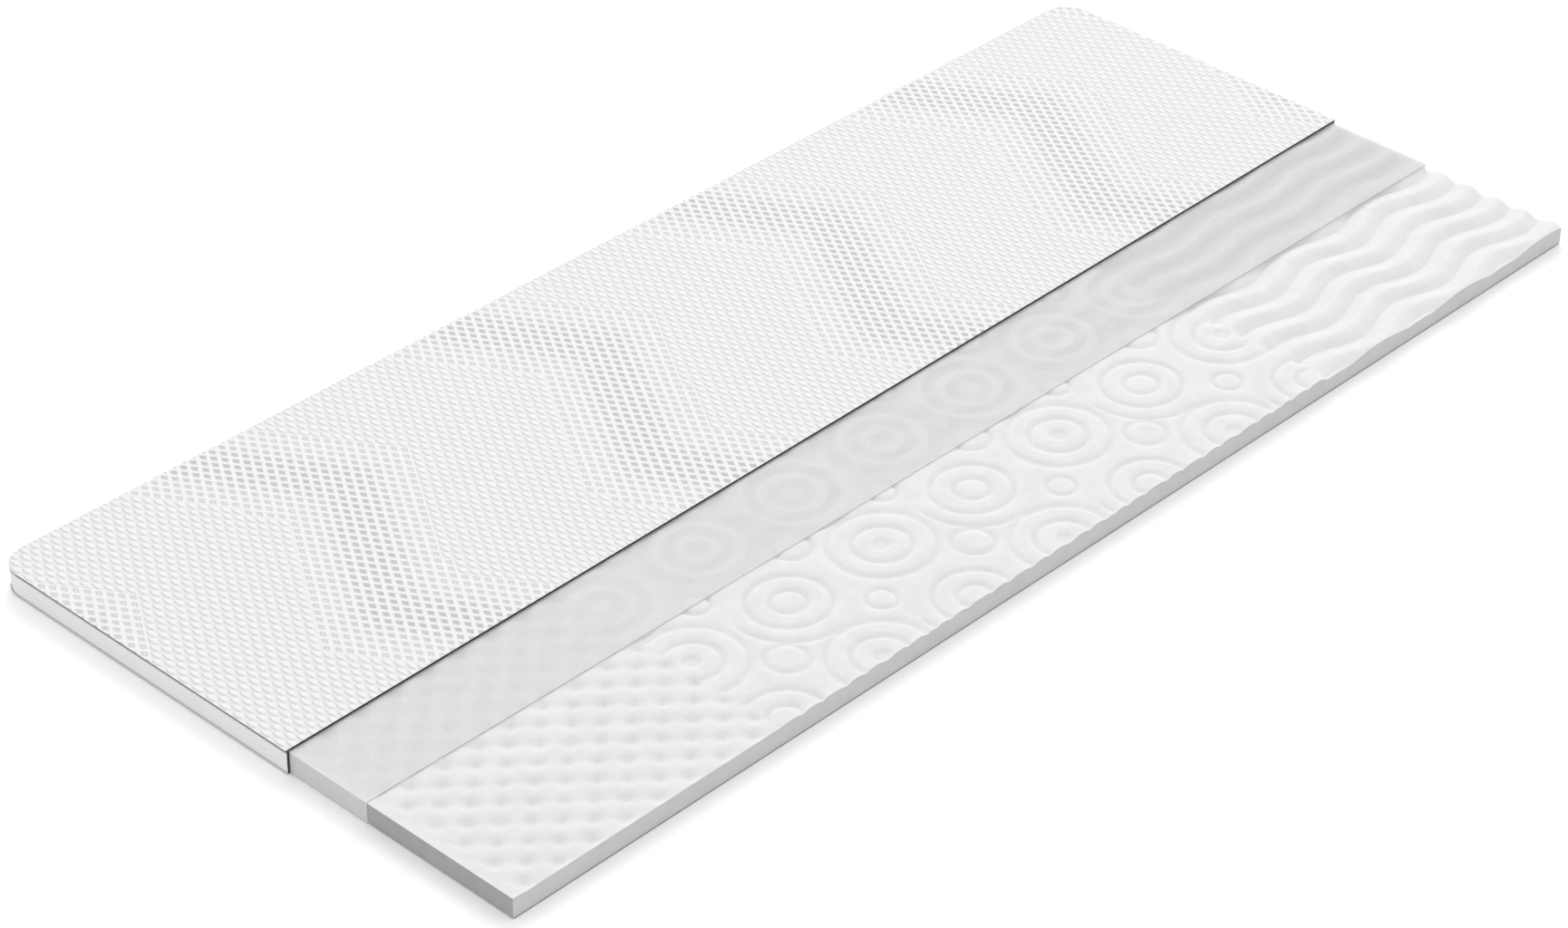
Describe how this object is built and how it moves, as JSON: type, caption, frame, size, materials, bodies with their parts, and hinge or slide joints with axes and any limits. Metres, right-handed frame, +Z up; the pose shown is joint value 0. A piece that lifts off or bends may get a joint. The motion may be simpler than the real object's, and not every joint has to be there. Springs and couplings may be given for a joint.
{
  "type": "memory foam mattress",
  "caption": "Thin memory foam mattress topper, cut away in strips to show a profiled foam core, an inner liner and a mesh knit cover with a zip.",
  "frame": {"origin": "middle of the underside, on the floor", "axes": "+X along the length, from the foot (egg-crate foam) to the head (wave foam); +Y across it, from the bare foam to the closed long side with the zip; +Z up"},
  "size_m": [2, 0.9, 0.036],
  "materials": {
    "foam": "open-cell foam, matt",
    "liner": "thin translucent knit",
    "base_fabric": "plain woven underside",
    "backing": "fine net backing",
    "spacer_yarn": "dark spacer yarns, seen at the cut edge",
    "top_knit": "raised mesh knit",
    "border_knit": "fine twill knit",
    "seam_tape": "narrow woven tape",
    "zip_tape": "woven zip tape",
    "zip_coil": "nylon coil",
    "zip_metal": "white enamel on zinc",
    "label": "blank satin label"
  },
  "bodies": {
    "topper": {"foam_core": "foam", "liner_bottom": "liner", "liner_top": "liner", "liner_side": "liner", "cover_bottom": "base_fabric", "cover_top_backing": "backing", "cover_top_spacer": "spacer_yarn", "cover_top_knit": "top_knit", "border_foot": "border_knit", "border_head": "border_knit", "border_side_lower": "border_knit", "border_side_upper": "border_knit", "top_welt": "seam_tape", "bottom_binding": "seam_tape", "zip_tape_lower": "zip_tape", "zip_tape_upper": "zip_tape", "zip_coil_lower": "zip_coil", "zip_coil_upper": "zip_coil", "zip_top_stops": "zip_metal", "zip_bottom_stop": "zip_metal", "care_label": "label"},
    "slider": {"zip_slider": "zip_metal"},
    "pull": {"zip_pull": "zip_metal"}
  },
  "joints": [
    {"name": "zip_slide", "type": "slide", "parent": "topper", "child": "slider", "axis": [-1, 0, 0], "range_m": [0, 1.7534], "deforming": ["zip_coil_lower", "zip_coil_upper"]},
    {"name": "pull_swing", "type": "hinge", "parent": "slider", "child": "pull", "pos_m": [0.8782, 0.4485, 0.01665], "axis": [0, 0, -1], "range_deg": [0, 160]}
  ]
}
